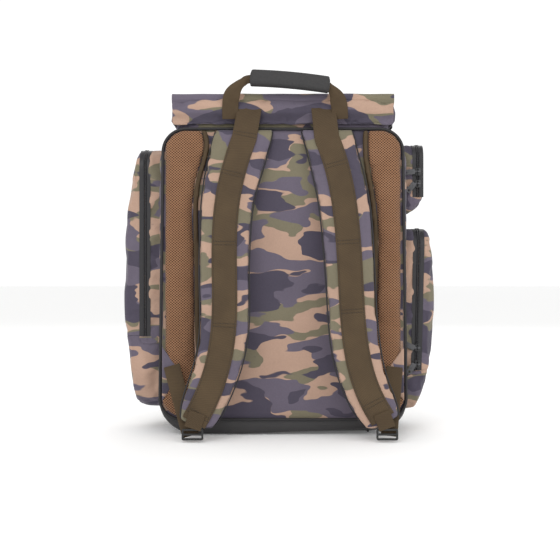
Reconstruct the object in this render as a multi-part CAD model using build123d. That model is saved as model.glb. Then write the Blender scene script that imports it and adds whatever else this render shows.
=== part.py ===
from build123d import *

import os

# Tackle backpack: a box-shaped fishing rucksack that stands on a waterproof base.
#
# Millimetres, +Z up. The origin is the centre of the base's underside. The harness side, which
# goes against the wearer's back, faces -Y. The front pocket faces +Y. Seen from the harness
# side, +X is on the right.
#
# The bag is a tray, two side panels, a back and a front panel and a top collar, closed by a cap
# lid on a fabric hinge. Four zipped pockets hang on it. Each pocket's outer panel folds down on
# the seam where its zip ends.

# ---- driving dimensions ----
BODY_HALF_WIDTH = 188.0
BODY_HALF_DEPTH = 100.0
BODY_TOP = 476.0
PANEL_BOTTOM = 22.0  # lower seam of the back and front panels
TRAY_SIDE_TOP = 50.0  # the tray climbs the body's lower corners to here
BOTTOM_RADIUS = 34.0
SHOULDER_RADIUS = 38.0
WALL = 4.0
PANEL = 6.0  # back and front panels are foam-backed
GAP = 0.4  # free space between pieces that only lie on each other

COLLAR_HALF_WIDTH = 167.0
COLLAR_TOP = 505.0
YOKE_TOP = 520.0
YOKE_REAR = -106.0
LID_HALF_WIDTH = 174.0
LID_TOP = 528.0
LID_SKIRT_BOTTOM = 482.0
LID_FRONT = 105.5
LID_WALL = 4.5

PIPING_RADIUS = 2.3
WEB_NARROW = 25.0
WEB_WIDE = 38.0
WEB_THICK = 1.8
PAD_THICK = 12.0
MESH_THICK = 10.0
ZIP_HALF = 7.0  # visible half width of a zip, coil and tape
ZIP_THICK = 1.2


# ---- small builders ----
def block(x0, x1, y0, y1, z0, z1):
    """A box between two corners."""
    return Pos((x0 + x1) / 2, (y0 + y1) / 2, (z0 + z1) / 2) * Box(x1 - x0, y1 - y0, z1 - z0)


def along_y(face, y0, y1):
    """Extrudes a face drawn in (x, z) from y0 to y1."""
    return extrude(Plane.XZ.offset(-y1) * face, amount=y1 - y0)


def along_x(face, x0, x1):
    """Extrudes a face drawn in (y, z) from x0 to x1."""
    return extrude(Plane.YZ.offset(x0) * face, amount=x1 - x0)


def along_z(face, z0, z1):
    """Extrudes a face drawn in (x, y) from z0 to z1."""
    return extrude(Plane.XY.offset(z0) * face, amount=z1 - z0)


def rounded(half_width, low, high, radius, centre=0.0):
    """A rounded rectangle, drawn in (across, up)."""
    return Pos(centre, (low + high) / 2) * RectangleRounded(2 * half_width, high - low, radius)


def outline(*lines):
    """A face inside a closed run of lines."""
    return make_face(Curve() + list(lines))


def polygon(*points):
    return make_face(Polyline(*points, close=True))


def strip(start, end, across, width, thick):
    """A flat bar from start to end whose width lies along the direction across."""
    along = Vector(*end) - Vector(*start)
    flat = Vector(*across) - along * (Vector(*across).dot(along) / along.dot(along))
    middle = (Vector(*start) + Vector(*end)) * 0.5
    plane = Plane(origin=middle, x_dir=flat, z_dir=along.normalized())
    return plane * Box(width, thick, along.length)


# ---- bag body ----
def body_outline(inset=0.0):
    """The body's front view with its round lower corners and shoulders, drawn in (x, z)."""
    half = BODY_HALF_WIDTH - inset
    low, high = inset, BODY_TOP - inset
    lower, upper = BOTTOM_RADIUS - inset, SHOULDER_RADIUS - inset
    box = Pos(0, (low + high) / 2) * Rectangle(2 * half, high - low)
    corners = box.vertices().sort_by(Axis.Y)
    box = fillet(corners[:2], lower)
    return fillet(box.vertices().sort_by(Axis.Y)[-2:], upper)


def panel_outline(inset=0.0):
    """The back and front panels' shape, which the piping follows."""
    half = BODY_HALF_WIDTH - inset
    return rounded(half, PANEL_BOTTOM + inset, BODY_TOP - inset, SHOULDER_RADIUS - inset)


def body_slice(low, high):
    """The hollow body shell between two heights, without its back and front panels."""
    shell = along_y(body_outline(), -BODY_HALF_DEPTH, BODY_HALF_DEPTH)
    inner = BODY_HALF_DEPTH - WALL
    shell -= along_y(body_outline(WALL), -inner, inner)
    band = 2 * BODY_HALF_DEPTH
    return shell & block(-2 * band, 2 * band, -band, band, low, high)


def full_panel(rear):
    """The back or front panel as a foam-backed slab."""
    start = -BODY_HALF_DEPTH if rear else BODY_HALF_DEPTH - PANEL
    return along_y(panel_outline(), start, start + PANEL)


def base_tray():
    """Waterproof tray: flat underside, round corners, and a low wall under each panel."""
    tray = body_slice(0.0, TRAY_SIDE_TOP)
    return tray - full_panel(True) - full_panel(False)


def side_panel(side):
    """One side panel with its shoulder, as far as the collar. side is -1 or 1."""
    walls = body_slice(TRAY_SIDE_TOP, BODY_TOP)
    inner_edge = COLLAR_HALF_WIDTH
    low, high = sorted((side * inner_edge, side * BODY_HALF_WIDTH))
    half = walls & block(low, high, -BODY_HALF_DEPTH, BODY_HALF_DEPTH, TRAY_SIDE_TOP, BODY_TOP)
    return half - full_panel(True) - full_panel(False)


def collar_ring(half_width, rear, front, low, high, radius):
    """A solid prism with the collar's rounded plan."""
    plan = Pos(0, (rear + front) / 2) * RectangleRounded(2 * half_width, front - rear, radius)
    return along_z(plan, low, high)


def top_collar():
    """The main opening's rim: a short upright collar with a flange that meets the body."""
    rear, front = -BODY_HALF_DEPTH + PANEL, BODY_HALF_DEPTH - PANEL
    flange_low = BODY_TOP - SHOULDER_RADIUS / 4
    outer = collar_ring(COLLAR_HALF_WIDTH, rear, front, flange_low, COLLAR_TOP, 12)
    inner_half = COLLAR_HALF_WIDTH - WALL
    return outer - collar_ring(inner_half, rear + WALL, front - WALL, flange_low - 1, COLLAR_TOP + 1, 8)


def yoke():
    """Padded roll across the rear top edge, under the lid's hinge."""
    half, front = LID_HALF_WIDTH - 2, -BODY_HALF_DEPTH + PANEL - GAP
    roll = block(-half, half, YOKE_REAR, front, 480, YOKE_TOP)
    roll += block(-half, half, -BODY_HALF_DEPTH, front, BODY_TOP + GAP, 481)
    rear_edges = roll.edges().filter_by(Axis.X).group_by(Axis.Y)[0]
    return fillet(rear_edges, 5)


def stiffener():
    """Plastic sheet inside the back panel that keeps the bag's back flat."""
    face = rounded(BODY_HALF_WIDTH - 22, 40, BODY_TOP - 34, 20)
    start = -BODY_HALF_DEPTH + PANEL
    return along_y(face, start, start + 2)


def piping():
    """Corded piping sewn round the edges of the back and front panels."""
    seam = panel_outline(PIPING_RADIUS).faces()[0].outer_wire()
    path = Plane.XZ.offset(BODY_HALF_DEPTH + PIPING_RADIUS + 0.2) * seam
    rear = sweep(Plane(origin=path @ 0, z_dir=path % 0) * Circle(PIPING_RADIUS), path=path)
    return rear + mirror(rear, about=Plane.XZ)


# ---- back panel's air mesh ----
MESH_OUTER = BODY_HALF_WIDTH - 5.5
# Inner edge of each mesh panel from the bottom up, as (distance from the middle, z).
LEFT_MESH_EDGE = ((114, 30), (122, 80), (129, 200), (130, 300), (125, 400), (114, 448), (118, 470.5))
RIGHT_MESH_EDGE = ((118, 30), (126, 80), (136, 200), (139, 300), (134, 367), (125, 420), (124, 470.5))
BINDING = 8.0


def mesh_outline(edge, shift=0.0):
    """A mesh panel on the right: its outer edge follows the body, its inner edge is a soft curve."""
    inner = [(x + shift, z) for x, z in edge]
    top, bottom, corner = inner[-1], inner[0], SHOULDER_RADIUS - 5.5
    high = (MESH_OUTER - corner, top[1])
    low = (MESH_OUTER - corner, bottom[1])
    return outline(
        Spline(*inner),
        Line(top, high),
        RadiusArc(high, (MESH_OUTER, high[1] - corner), corner),
        Line((MESH_OUTER, high[1] - corner), (MESH_OUTER, low[1] + corner)),
        RadiusArc((MESH_OUTER, low[1] + corner), low, corner),
        Line(low, bottom),
    )


def mesh_pad(edge):
    """Spacer-mesh padding on the right of the back panel."""
    front = -BODY_HALF_DEPTH
    return along_y(mesh_outline(edge, BINDING), front - MESH_THICK, front)


def mesh_binding(edge):
    """Tape that binds a mesh panel's inner edge."""
    front = -BODY_HALF_DEPTH
    strip_face = mesh_outline(edge) - mesh_outline(edge, BINDING)
    return along_y(strip_face, front - MESH_THICK, front)


# ---- harness ----
# Each route is the middle of a strap seen from behind, as (x, z, width), from the top down.
LEFT_ROUTE = (
    (-56.5, 482, 84), (-71, 424, 86), (-84, 364, 80), (-88, 302, 76), (-89, 250, 75),
    (-89, 159, 73), (-98, 111, 70), (-114, 66, 66), (-126, 36, 56), (-130, 25, 46),
)
RIGHT_ROUTE = (
    (64.5, 482, 76), (79, 424, 76), (92, 364, 77), (98, 302, 76), (101, 250, 74),
    (105, 175, 73), (112, 121, 72), (124, 80, 68), (142, 42, 60), (150, 27, 48),
)
# Middle of the strap's thickness seen from the side, as (y, z), from the top down.
STRAP_SIDE = (
    (-100.5, 512), (-107.6, 474), (-113, 424), (-125, 364), (-136, 302), (-143, 250),
    (-150, 160), (-156, 111), (-163, 62), (-169, 20),
)
LEFT_WEB_TOP = (-53, 506)
RIGHT_WEB_TOP = (58, 502)
PAD_TOP = 471.0
LOCK_BAR_Y = -173.0
LOCK_TOP = 20.0
LOCK_BOTTOM = 3.0


def edge_points(route, half_of):
    """Points along one edge of a route; half_of gives the signed half width at each point."""
    points = []
    for i, (x, z, width) in enumerate(route):
        before, after = route[max(i - 1, 0)], route[min(i + 1, len(route) - 1)]
        along = Vector(after[0] - before[0], after[1] - before[1]).normalized()
        reach = half_of(width)
        points.append((x - along.Y * reach, z + along.X * reach))
    return points


def ribbon(route, half_of):
    """A face along a route, as wide as half_of says on each side."""
    one = edge_points(route, half_of)
    other = edge_points(route, lambda width: -half_of(width))
    return outline(Spline(*one), Line(one[-1], other[-1]), Spline(*other), Line(other[0], one[0]))


def side_band(near, far, x0, x1):
    """The strap's side profile between two offsets from its middle, as wide as the bag."""
    one = [(y - near, z) for y, z in STRAP_SIDE]
    other = [(y - far, z) for y, z in STRAP_SIDE]
    face = outline(Spline(*one), Line(one[-1], other[-1]), Spline(*other), Line(other[0], one[0]))
    return along_x(face, x0, x1)


def half_space(route):
    """The X range that holds a route."""
    return (0, BODY_HALF_WIDTH + 20) if route[0][0] > 0 else (-BODY_HALF_WIDTH - 20, 0)


def strap_pad(route):
    """Foam shoulder pad: a flat shape bent to the strap's side profile."""
    shape = along_y(ribbon(route, lambda width: width / 2), -220, -60)
    shape &= side_band(-PAD_THICK / 2, PAD_THICK / 2, *half_space(route))
    return shape & block(-220, 220, -220, -60, 0, PAD_TOP)


def strap_webbing(route, top):
    """Wide webbing sewn down the pad's middle, over the piping and up to the lid's seam."""
    middle = ((top[0], top[1], 0), (route[0][0] * 0.98, 472, 0), *route[1:-1])
    shape = along_y(ribbon(middle, lambda _: WEB_WIDE / 2), -220, -60)
    near = PAD_THICK / 2 + GAP
    shape &= side_band(near, near + WEB_THICK, *half_space(route))
    # Above the piping, its outer edge is trimmed clear of the handle's foot.
    side = 1 if top[0] > 0 else -1
    foot = side * HANDLE_ROUTE[-1 if side > 0 else 0][0] - WEB_NARROW / 2 - 1.2
    return shape - block(*sorted((side * foot, side * (foot + 40))), -220, -60, 470, 520)


def lock_centre(route):
    """X of the ladder lock at the end of a strap."""
    return route[-1][0] + (4 if route[0][0] > 0 else -4)


def strap_loop(route):
    """Narrow webbing from the strap's end to the ladder lock's top bar."""
    y = LOCK_BAR_Y - 2 - GAP - WEB_THICK / 2
    end = (lock_centre(route), y, LOCK_TOP - 1.2)
    return strip((route[-1][0] * 0.98, y, 46), end, (1, 0, 0), WEB_NARROW, WEB_THICK)


def ladder_lock(route):
    """Plastic adjuster with three bars and two slots."""
    x = lock_centre(route)
    frame = rounded(16, LOCK_BOTTOM, LOCK_TOP, 3, x)
    slot = WEB_NARROW / 2 + 0.8
    frame -= rounded(slot, LOCK_BOTTOM + 3, LOCK_BOTTOM + 7.2, 1, x)
    frame -= rounded(slot, LOCK_BOTTOM + 10, LOCK_BOTTOM + 14.2, 1, x)
    return along_y(frame, LOCK_BAR_Y - 2, LOCK_BAR_Y + 2)


def lower_webbing(route):
    """Webbing from the ladder lock up to the triangle in the side seam."""
    side = 1 if route[0][0] > 0 else -1
    return strip(
        (lock_centre(route) + side * 3, LOCK_BAR_Y + 4.8, 8), (side * 171, -117.5, 106),
        (1, 0, 0), WEB_NARROW, WEB_THICK,
    )


def side_triangles():
    """Fabric triangles in the side seams that carry the lower webbings."""
    rear = -BODY_HALF_DEPTH - MESH_THICK - GAP
    right = along_y(polygon((187, 140), (187, 52), (156, 96)), rear - 3, rear)
    return right + mirror(right, about=Plane.YZ)


# ---- carry handle ----
HANDLE_FOOT = (-107.6, 488.0)  # (y, z) of the seam that the handle swings on
HANDLE_GRIP_Y = -131.0
# Middle of the handle seen from behind, as (x, z), from the left foot to the right foot.
HANDLE_ROUTE = (
    (-88, 488), (-88, 512), (-83, 534), (-66, 549), (-45, 553),
    (15, 550), (64, 543), (80, 536), (90, 521), (92, 505), (92, 488),
)


def handle_band(half_of):
    """The handle's webbing seen from behind: wide at its feet, folded narrow in the grip."""
    last = len(HANDLE_ROUTE) - 1
    route = [(x, z, half_of(min(i, last - i))) for i, (x, z) in enumerate(HANDLE_ROUTE)]
    return ribbon(route, lambda half: half)


def handle_lean(near, far):
    """A thick sheet that leans back from the foot seam, then stands, spanning the handle."""
    y, z = HANDLE_FOOT
    points = ((y, z - 4), (y, z + 2), (HANDLE_GRIP_Y, 534), (HANDLE_GRIP_Y, 575))
    face = polygon(*[(py + near, pz) for py, pz in points], *[(py + far, pz) for py, pz in reversed(points)])
    return along_x(face, -130, 130)


def handle_webbing():
    widths = (WEB_NARROW / 2, WEB_NARROW / 2, 9.5, 6.5, 6, 6)
    shape = along_y(handle_band(lambda step: widths[step]), -180, -90)
    return shape & handle_lean(-WEB_THICK / 2, WEB_THICK / 2)


def handle_grip():
    """Rubber sleeve round the folded webbing."""
    left, right = (-51, 553.5), (73, 543)
    along = Vector(right[0] - left[0], 0, right[1] - left[1])
    plane = Plane(origin=(left[0], HANDLE_GRIP_Y, left[1]), x_dir=(0, 1, 0), z_dir=along)
    sleeve = extrude(plane * RectangleRounded(22, 25, 8), amount=along.length)
    core = along_y(handle_band(lambda step: 7.2), -180, -90) & handle_lean(-WEB_THICK, WEB_THICK)
    return sleeve - core


# ---- lid ----
def lid_panel():
    """Cap lid: a padded top with skirts on three sides, open at the rear where it hinges."""
    low = LID_SKIRT_BOTTOM
    outer = block(-LID_HALF_WIDTH, LID_HALF_WIDTH, YOKE_REAR, LID_FRONT, low, LID_TOP)
    outer = fillet(outer.edges().filter_by(Axis.Z).group_by(Axis.Y)[-1], 22)
    outer = fillet(outer.edges().group_by(Axis.Z)[-1].sort_by(Axis.Y)[1:], 4)
    inner = block(
        -LID_HALF_WIDTH + LID_WALL, LID_HALF_WIDTH - LID_WALL, YOKE_REAR - 1, LID_FRONT - LID_WALL,
        low - 1, YOKE_TOP + 1,
    )
    inner = fillet(inner.edges().filter_by(Axis.Z).group_by(Axis.Y)[-1], 18)
    behind_yoke = block(-200, 200, YOKE_REAR - 1, -BODY_HALF_DEPTH + PANEL, low - 1, YOKE_TOP + 0.8)
    return outer - inner - behind_yoke


def lid_piping():
    """Piping round the lid's top edge, laid just outside the skirt."""
    half, front, radius = LID_HALF_WIDTH + 2.0, LID_FRONT + 2.0, 24
    z, rear = 519.0, -88.0
    path = Line((-half, rear, z), (-half, front - radius, z))
    path += RadiusArc((-half, front - radius, z), (-half + radius, front, z), radius)
    path += Line((-half + radius, front, z), (half - radius, front, z))
    path += RadiusArc((half - radius, front, z), (half, front - radius, z), radius)
    path += Line((half, front - radius, z), (half, rear, z))
    return sweep(Plane(origin=path @ 0, z_dir=path % 0) * Circle(1.7), path=path)


def lid_side_tab():
    """Folded webbing tab on the lid's right skirt."""
    tab = block(LID_HALF_WIDTH + 0.3, LID_HALF_WIDTH + 3.3, -30, -5, 485, 503)
    return fillet(tab.edges().filter_by(Axis.Y).group_by(Axis.X)[-1], 1.2)


# ---- side-release buckles that close the lid ----
BUCKLE_X = 92.0
BUCKLE_REAR = LID_FRONT + 5.0
BUCKLE_THICK = 10.0
SOCKET_LOW, SOCKET_HIGH = 398.0, 424.0
PLUG_HIGH = 447.0
PRONG = 11.0


def socket_body(x):
    """Female half: a flat box open at the top, with a bar below for its webbing."""
    half, slot_half = WEB_NARROW / 2 + 4, WEB_NARROW / 2 + 0.6
    front = BUCKLE_REAR + BUCKLE_THICK
    box = along_y(rounded(half, SOCKET_LOW, SOCKET_HIGH, 3, x), BUCKLE_REAR, front)
    cavity = block(x - half + 2.2, x + half - 2.2, BUCKLE_REAR + 2, front - 2, 410, 425)
    return box - cavity - block(x - slot_half, x + slot_half, 100, 130, SOCKET_LOW + 3, SOCKET_LOW + 7)


def plug_body(x):
    """Male half: a ladder frame for the webbing with a tongue and two spring arms below."""
    half = WEB_NARROW / 2 + 4
    rear, front = BUCKLE_REAR + 2.4, BUCKLE_REAR + BUCKLE_THICK - 2.4
    frame = along_y(rounded(half, SOCKET_HIGH + 0.5, PLUG_HIGH, 3, x), rear, front)
    for low in (SOCKET_HIGH + 6, SOCKET_HIGH + 14):
        frame -= block(x - WEB_NARROW / 2 - 0.6, x + WEB_NARROW / 2 + 0.6, 100, 130, low, low + 4.5)
    tip = SOCKET_HIGH - PRONG
    for low, high in ((-12.5, -9), (-2, 2), (9, 12.5)):
        frame += block(x + low, x + high, rear, front, tip, SOCKET_HIGH + 1)
    return frame


def lid_webbings():
    """Webbings sewn to the lid's front skirt that run down behind the plugs."""
    front = LID_FRONT + 4.2
    one = block(-WEB_NARROW / 2, WEB_NARROW / 2, front - WEB_THICK, front, SOCKET_HIGH + 2, 512)
    return Pos(-BUCKLE_X, 0, 0) * one + Pos(BUCKLE_X, 0, 0) * one


def socket_webbings():
    """Webbings sewn to the front panel that hold the sockets."""
    front = BODY_HALF_DEPTH + GAP
    one = block(-WEB_NARROW / 2, WEB_NARROW / 2, front, front + WEB_THICK, 352, SOCKET_LOW)
    low, high = (0, front + 1.5, SOCKET_LOW - 3), (0, BUCKLE_REAR + 5, SOCKET_LOW - 0.9)
    one += strip(low, high, (1, 0, 0), WEB_NARROW, WEB_THICK)
    return Pos(-BUCKLE_X, 0, 0) * one + Pos(BUCKLE_X, 0, 0) * one


# ---- pockets ----
class Pocket:
    """A zipped pocket in its own frame: +X away from the bag, Y along the bag's wall.

    turn is the angle that its +X makes with the bag's +X. sliders holds each slider's height
    and the angle that its pull droops by.
    """

    def __init__(self, name, turn, wall, gusset, bulge, half, low, hinge, high, radius, sliders):
        self.name, self.turn = name, turn
        self.wall, self.zip_at = wall, wall + gusset
        self.outer = self.zip_at + bulge
        self.half, self.low, self.hinge, self.high = half, low, hinge, high
        self.radius, self.sliders = radius, sliders

    def placed(self, shape):
        """Turns a shape from the pocket's frame into the bag's."""
        return Rot(0, 0, self.turn) * shape

    def side_face(self, inset=0.0):
        """The pocket's shape seen from outside, drawn in (y, z)."""
        radius = self.radius - inset
        return rounded(self.half - inset, self.low + inset, self.high - inset, radius)

    def pouch(self):
        """Gussets and lower pouch, open on the outside above the hinge line."""
        slope = self.zip_at + 0.25 * (self.outer - self.zip_at)
        profile = polygon(
            (self.wall, self.high), (self.zip_at, self.high), (self.zip_at, self.hinge),
            (self.outer, self.hinge), (slope, self.low), (self.wall, self.low),
        )
        t = 3.0
        hollow = polygon(
            (self.wall - 1, self.high - t), (self.zip_at + 1, self.high - t),
            (self.zip_at + 1, self.hinge + 1), (self.outer - t, self.hinge + 1),
            (slope - t, self.low + t), (self.wall - 1, self.low + t),
        )
        shape = along_y(profile, -self.half, self.half)
        shape &= along_x(self.side_face(), self.wall, self.outer + 1)
        core = along_y(hollow, -self.half + t, self.half - t)
        core &= along_x(self.side_face(t), self.wall - 1, self.outer + 2)
        return self.placed(shape - core)

    def door_profile(self, t=0.0):
        """The outer panel's bulged section, drawn in (x, z)."""
        start = self.zip_at + 0.15 - t
        low, high = self.hinge + 0.6 + t, self.high - t
        third = (high - low) / 3
        curve = Spline(
            (self.outer - t, low), (self.outer - t, low + third),
            (self.outer - t - 0.12 * (self.outer - start), low + 2 * third), (self.zip_at + 6, high),
        )
        return outline(Line((start, high), (start, low)), Line((start, low), (self.outer - t, low)), curve,
                       Line((self.zip_at + 6, high), (start, high)))

    def door(self):
        """Outer panel with a shallow rim that carries the zip's outer half."""
        t = 3.0
        shape = along_y(self.door_profile(), -self.half, self.half)
        shape &= along_x(self.side_face(), self.zip_at - 1, self.outer + 1)
        core = along_y(self.door_profile(t), -self.half + t, self.half - t)
        core &= along_x(self.side_face(t), self.zip_at - 5, self.outer + 1)
        return self.placed(shape - core)

    def zip_half(self, moving):
        """One half of the U-shaped zip, laid on the outside of the gusset or of the door's rim."""
        start = self.zip_at + 0.2 if moving else self.zip_at - ZIP_HALF
        end = self.zip_at + 5.0 if moving else self.zip_at - 0.2
        ring = along_x(self.side_face(-ZIP_THICK) - self.side_face(), start, end)
        low = self.hinge + (1.0 if moving else 0.0)
        big = 400
        return self.placed(ring & block(-big, big, -big, big, low, self.high + 10))

    def slider(self, z):
        """Zip slider: a plate over the coil with a round bar for the pull."""
        face = -(self.half + ZIP_THICK + 0.3)
        plate = along_y(rounded(4.5, z - 6, z + 6, 2, self.zip_at), face - 2, face)
        bar_at = face - 2 - 3.8
        bar = Pos(self.zip_at, bar_at, z) * Cylinder(1.0, 8.0)
        posts = block(self.zip_at - 1, self.zip_at + 1, bar_at - 1, face - 1.5, z + 3.9, z + 5.6)
        posts += block(self.zip_at - 1, self.zip_at + 1, bar_at - 1, face - 1.5, z - 5.6, z - 3.9)
        return self.placed(plate + bar + posts)

    def bar_at(self):
        """Y of the sliders' round bars, in the pocket's frame."""
        return -(self.half + ZIP_THICK + 0.3) - 2 - 3.8

    def pull(self, z, droop):
        """Moulded pull: a ring round the slider's bar and a flat tab that droops in its own plane."""
        x, y = self.zip_at, self.bar_at()
        shape = Pos(x, y, z) * Cylinder(2.9, 2.6)
        shape += block(x - 8, x - 2, y - 0.7, y + 0.7, z - 1.3, z + 1.3)
        tab = Pos(-8, 0) * RectangleRounded(19, 8.4, 2.5) - Pos(-13.5, 0) * Circle(1.7)
        shape += along_y(Pos(x - 7, z) * Rot(0, 0, droop) * tab, y - 0.7, y + 0.7)
        return self.placed(shape - Pos(x, y, z) * Cylinder(1.35, 6))


POCKETS = (
    Pocket("left", 180, 188, 29, 28, 75, 42, 152, 446, 30, ((190, 78),)),
    Pocket("right_upper", 0, 188, 27, 14, 55, 347, 372, 456, 22, ((412, 6), (393, 52))),
    Pocket("right_lower", 0, 188, 24, 22, 75, 35, 98, 321, 30, ((134, -24), (108, 58))),
    Pocket("front", 90, 100, 35, 28, 140, 30, 76, 330, 34, ((110, 78),)),
)


def pocket_nodes(pocket):
    """Every node of one pocket, by name. Slider and pull names count from the top."""
    name = pocket.name
    nodes = {
        f"{name}_pocket": pocket.pouch(),
        f"{name}_pocket_door": pocket.door(),
        f"{name}_zip_inner": pocket.zip_half(False),
        f"{name}_zip_outer": pocket.zip_half(True),
    }
    for number, (z, droop) in enumerate(pocket.sliders, 1):
        nodes[f"{name}_slider_{number}"] = pocket.slider(z)
        nodes[f"{name}_pull_{number}"] = pocket.pull(z, droop)
    return nodes


def all_nodes():
    left_binding = mirror(mesh_binding(LEFT_MESH_EDGE), about=Plane.YZ)
    nodes = {
        "base_tray": base_tray(),
        "back_panel": full_panel(True),
        "back_stiffener": stiffener(),
        "front_panel": full_panel(False),
        "left_side_panel": side_panel(-1),
        "right_side_panel": side_panel(1),
        "top_collar": top_collar(),
        "rear_yoke": yoke(),
        "panel_pipings": piping(),
        "right_mesh_pad": mesh_pad(RIGHT_MESH_EDGE),
        "left_mesh_pad": mirror(mesh_pad(LEFT_MESH_EDGE), about=Plane.YZ),
        "mesh_bindings": mesh_binding(RIGHT_MESH_EDGE) + left_binding,
        "left_strap_pad": strap_pad(LEFT_ROUTE),
        "right_strap_pad": strap_pad(RIGHT_ROUTE),
        "left_strap_webbing": strap_webbing(LEFT_ROUTE, LEFT_WEB_TOP),
        "right_strap_webbing": strap_webbing(RIGHT_ROUTE, RIGHT_WEB_TOP),
        "strap_loops": strap_loop(LEFT_ROUTE) + strap_loop(RIGHT_ROUTE),
        "left_ladder_lock": ladder_lock(LEFT_ROUTE),
        "right_ladder_lock": ladder_lock(RIGHT_ROUTE),
        "left_lower_webbing": lower_webbing(LEFT_ROUTE),
        "right_lower_webbing": lower_webbing(RIGHT_ROUTE),
        "side_triangles": side_triangles(),
        "handle_webbing": handle_webbing(),
        "handle_grip": handle_grip(),
        "lid_panel": lid_panel(),
        "lid_piping": lid_piping(),
        "lid_side_tab": lid_side_tab(),
        "lid_webbings": lid_webbings(),
        "left_buckle_plug": plug_body(-BUCKLE_X),
        "right_buckle_plug": plug_body(BUCKLE_X),
        "buckle_sockets": socket_body(-BUCKLE_X) + socket_body(BUCKLE_X),
        "socket_webbings": socket_webbings(),
    }
    for pocket in POCKETS:
        nodes.update(pocket_nodes(pocket))
    return nodes


os.makedirs("parts", exist_ok=True)
for node, shape in all_nodes().items():
    export_step(shape, f"parts/{node}.step")
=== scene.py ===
import math

import bmesh
import bpy
import numpy as np
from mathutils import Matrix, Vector, noise
from mathutils.bvhtree import BVHTree


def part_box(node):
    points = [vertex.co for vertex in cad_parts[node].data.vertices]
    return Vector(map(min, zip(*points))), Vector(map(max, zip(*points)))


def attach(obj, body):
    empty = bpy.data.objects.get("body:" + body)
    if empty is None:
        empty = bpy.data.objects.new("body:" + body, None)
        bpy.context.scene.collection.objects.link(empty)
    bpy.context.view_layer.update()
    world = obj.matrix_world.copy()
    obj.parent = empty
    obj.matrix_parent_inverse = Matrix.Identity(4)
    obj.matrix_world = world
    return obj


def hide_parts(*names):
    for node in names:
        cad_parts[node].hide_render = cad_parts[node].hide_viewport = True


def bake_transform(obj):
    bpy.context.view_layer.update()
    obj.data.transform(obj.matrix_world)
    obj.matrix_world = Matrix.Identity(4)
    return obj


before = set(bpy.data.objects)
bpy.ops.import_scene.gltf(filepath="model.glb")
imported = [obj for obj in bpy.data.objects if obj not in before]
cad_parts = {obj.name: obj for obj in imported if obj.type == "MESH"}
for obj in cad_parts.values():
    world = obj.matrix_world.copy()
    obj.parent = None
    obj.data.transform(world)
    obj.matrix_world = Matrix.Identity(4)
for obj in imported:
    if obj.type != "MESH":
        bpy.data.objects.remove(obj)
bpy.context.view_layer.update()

MM = 0.001


# ---- Studio ----
# The bag stands by itself on a plain pale floor, harness side towards the viewer, under large
# soft lamps, as for a shop catalogue.
def add_node(tree, kind, inputs=None, links=None, **settings):
    """Adds a shader node, sets it and its inputs, and links it to earlier nodes."""
    made = tree.nodes.new("ShaderNode" + kind)
    for name, value in settings.items():
        setattr(made, name, value)
    for name, value in (inputs or {}).items():
        made.inputs[name].default_value = value
    for name, (source, output) in (links or {}).items():
        tree.links.new(source.outputs[output], made.inputs[name])
    return made


def tint(code):
    """Turns an sRGB hex colour into linear light."""
    parts = [int(code[i:i + 2], 16) / 255 for i in (1, 3, 5)]
    return (*[c / 12.92 if c <= 0.04045 else ((c + 0.055) / 1.055) ** 2.4 for c in parts], 1.0)


def blank_material(name):
    """A material with its output only, and its node tree."""
    material = bpy.data.materials.new(name)
    material.use_nodes = True
    material.node_tree.nodes.clear()
    return material, material.node_tree


def area_lamp(name, place, aim, size, watts):
    lamp = bpy.data.lights.new(name, "AREA")
    lamp.shape = "RECTANGLE"
    lamp.size, lamp.size_y = size
    lamp.energy = watts
    lamp_object = bpy.data.objects.new(name, lamp)
    bpy.context.collection.objects.link(lamp_object)
    lamp_object.location = place
    lamp_object.rotation_euler = (Vector(aim) - Vector(place)).to_track_quat("-Z", "Y").to_euler()


VIEW_HEIGHT = 0.240
camera_data = bpy.data.cameras.new("camera")
camera_data.lens = 66.4
camera = bpy.data.objects.new("camera", camera_data)
bpy.context.collection.objects.link(camera)
camera.location = (-4.65 * MM, -1.70, VIEW_HEIGHT)
camera.rotation_euler = (math.radians(90), 0, 0)
bpy.context.scene.camera = camera
bpy.context.scene.view_settings.view_transform = "Standard"

area_lamp("key", (-0.6, -2.5, 2.0), (0, 0, 0.25), (1.6, 1.6), 27)
area_lamp("fill", (1.3, -2.2, 1.1), (0, 0, 0.25), (1.6, 1.6), 10)
area_lamp("back", (0.3, 2.4, 2.2), (0, 0, 0.3), (2.0, 1.4), 22)

# White walls stand all round under a dimmer ceiling, so the front lamps model the cloth.
world = bpy.data.worlds.new("studio")
bpy.context.scene.world = world
world.use_nodes = True
walls = add_node(world.node_tree, "TexCoord")
upward = add_node(world.node_tree, "SeparateXYZ", links={0: (walls, "Generated")})
ceiling = add_node(world.node_tree, "MapRange", links={"Value": (upward, 2)},
                   inputs={"From Min": 0.20, "From Max": 0.45, "To Min": 1.12, "To Max": 0.88})
world.node_tree.links.new(ceiling.outputs[0], world.node_tree.nodes["Background"].inputs["Color"])

bpy.ops.object.select_all(action="DESELECT")
bpy.ops.mesh.primitive_plane_add(size=80, location=(0, 0, -0.0005))
floor = bpy.context.object
floor.name = "floor"
paper, paper_tree = blank_material("pale_paper")
paper_dust = add_node(paper_tree, "TexNoise", inputs={"Scale": 3.0, "Detail": 2.0})
paper_tone = add_node(paper_tree, "Mix", data_type="RGBA", links={0: (paper_dust, 0)},
                      inputs={6: tint("#f6f6f5"), 7: tint("#fafafa")})
paper_skin = add_node(paper_tree, "BsdfPrincipled", links={"Base Color": (paper_tone, 2)},
                      inputs={"Roughness": 0.9, "Emission Color": (1, 1, 1, 1),
                              "Emission Strength": 0.09})
add_node(paper_tree, "OutputMaterial", links={"Surface": (paper_skin, 0)})
floor.data.materials.append(paper)


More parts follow.
